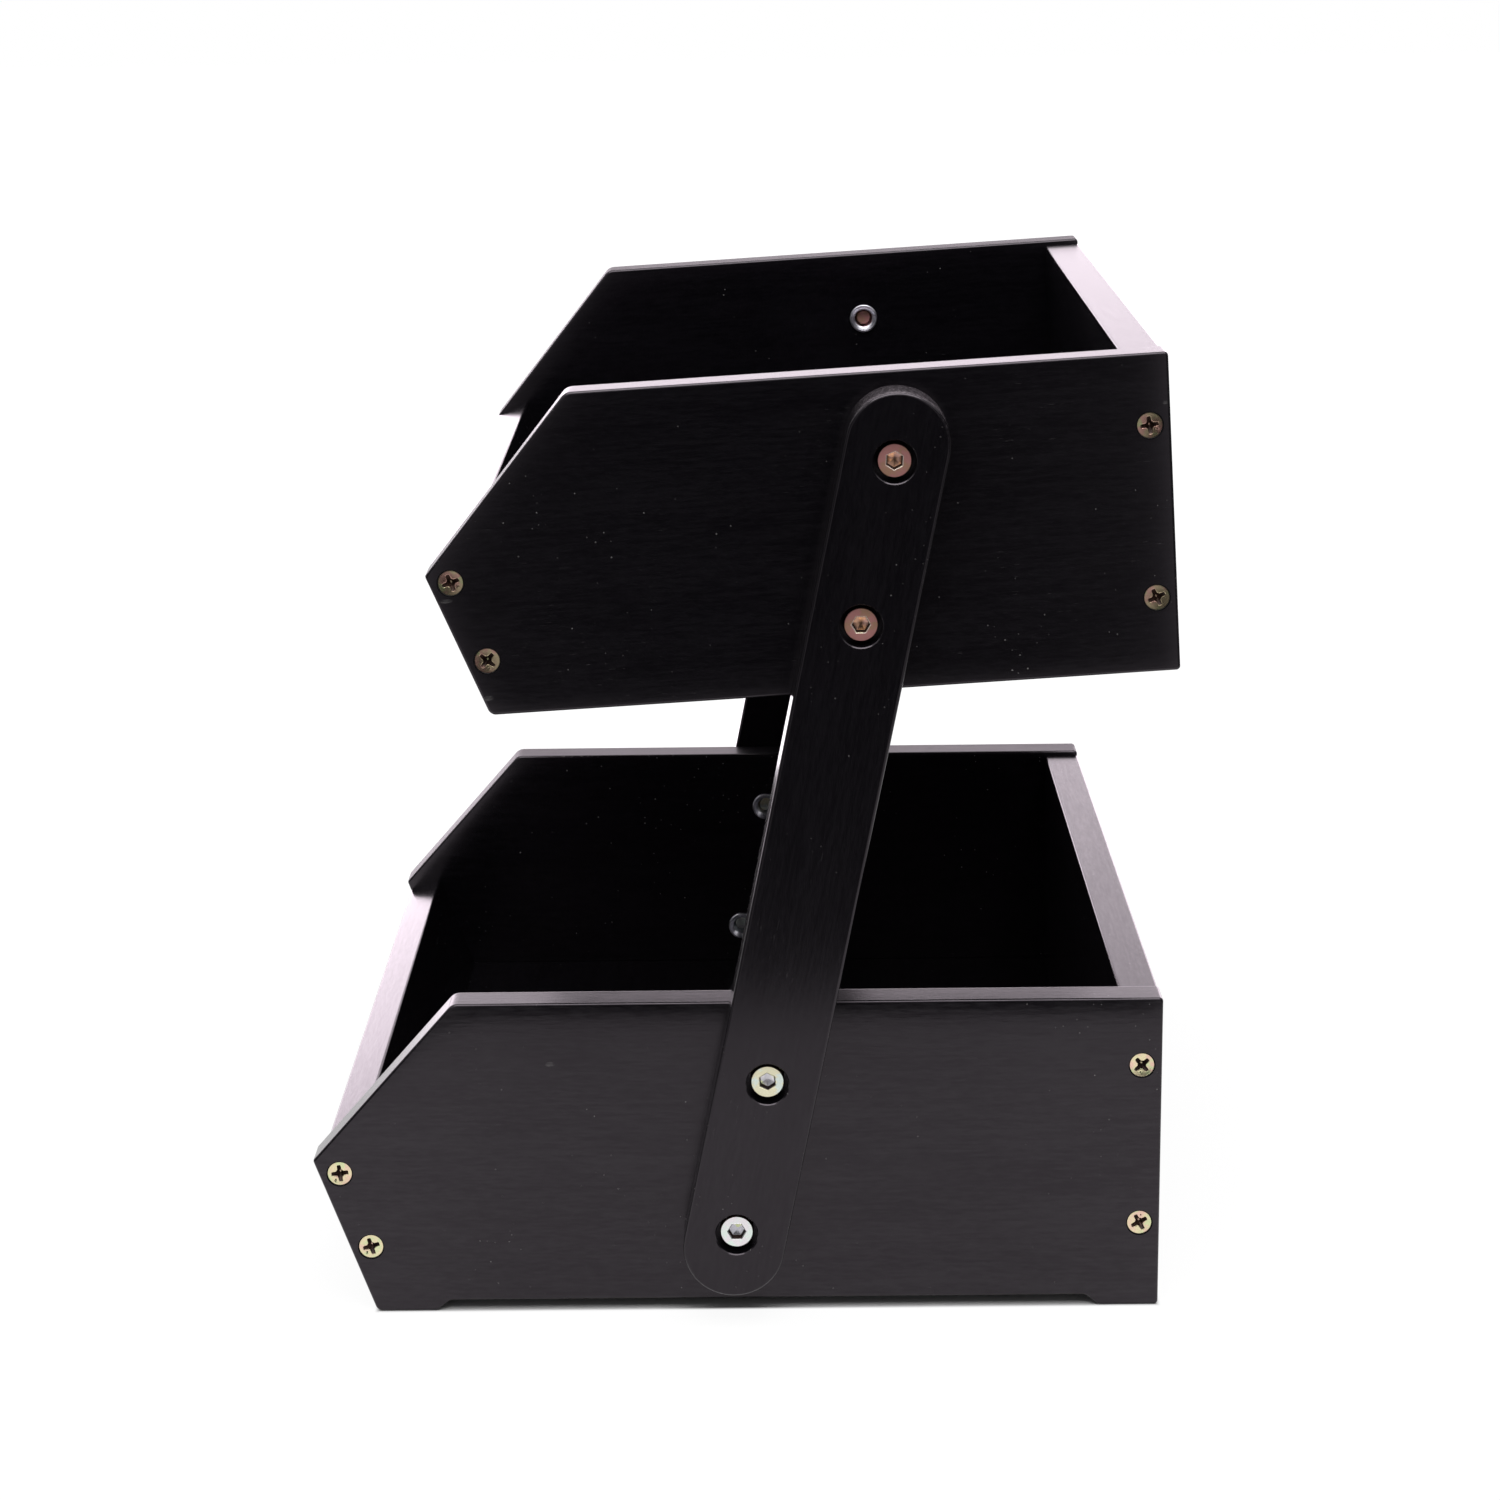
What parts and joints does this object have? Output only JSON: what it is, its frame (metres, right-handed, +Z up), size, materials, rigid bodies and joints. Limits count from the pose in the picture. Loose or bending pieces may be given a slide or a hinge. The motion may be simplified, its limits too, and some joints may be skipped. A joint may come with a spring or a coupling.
{
  "type": "two-tier open bin organiser",
  "caption": "Two open-topped wooden bins with leaning fronts, one held above the other by leaning side arms.",
  "frame": {"origin": "on the surface that the feet stand on, under the middle of the bounding box", "axes": "+Z up; -Y towards the front, where the leaning front boards are; +X towards the right-hand arm as seen from the front"},
  "size_m": [0.336, 0.257, 0.2894],
  "materials": {
    "stained_wood": "black stain under a thin satin lacquer, fine straight grain along each board",
    "stained_wood_arm": "black stain under a thin satin lacquer, grain along the bar",
    "bolt_plating": "yellow zinc plating with a faint iridescence",
    "screw_plating": "yellow zinc plating, duller in the recess",
    "insert_steel": "bright zinc plating"
  },
  "bodies": {
    "root": {"left_arm": "stained_wood_arm", "left_arm_bolt_1": "bolt_plating", "left_arm_bolt_2": "bolt_plating", "left_arm_bolt_3": "bolt_plating", "left_arm_bolt_4": "bolt_plating", "left_lower_back_screw_high": "screw_plating", "left_lower_back_screw_low": "screw_plating", "left_lower_front_screw_high": "screw_plating", "left_lower_front_screw_low": "screw_plating", "left_lower_side_board": "stained_wood", "left_threaded_insert_1": "insert_steel", "left_threaded_insert_2": "insert_steel", "left_threaded_insert_3": "insert_steel", "left_threaded_insert_4": "insert_steel", "left_upper_back_screw_high": "screw_plating", "left_upper_back_screw_low": "screw_plating", "left_upper_front_screw_high": "screw_plating", "left_upper_front_screw_low": "screw_plating", "left_upper_side_board": "stained_wood", "lower_back_board": "stained_wood", "lower_bottom_board": "stained_wood", "lower_front_board": "stained_wood", "right_arm": "stained_wood_arm", "right_arm_bolt_1": "bolt_plating", "right_arm_bolt_2": "bolt_plating", "right_arm_bolt_3": "bolt_plating", "right_arm_bolt_4": "bolt_plating", "right_lower_back_screw_high": "screw_plating", "right_lower_back_screw_low": "screw_plating", "right_lower_front_screw_high": "screw_plating", "right_lower_front_screw_low": "screw_plating", "right_lower_side_board": "stained_wood", "right_threaded_insert_1": "insert_steel", "right_threaded_insert_2": "insert_steel", "right_threaded_insert_3": "insert_steel", "right_threaded_insert_4": "insert_steel", "right_upper_back_screw_high": "screw_plating", "right_upper_back_screw_low": "screw_plating", "right_upper_front_screw_high": "screw_plating", "right_upper_front_screw_low": "screw_plating", "right_upper_side_board": "stained_wood", "upper_back_board": "stained_wood", "upper_bottom_board": "stained_wood", "upper_front_board": "stained_wood"}
  },
  "joints": []
}
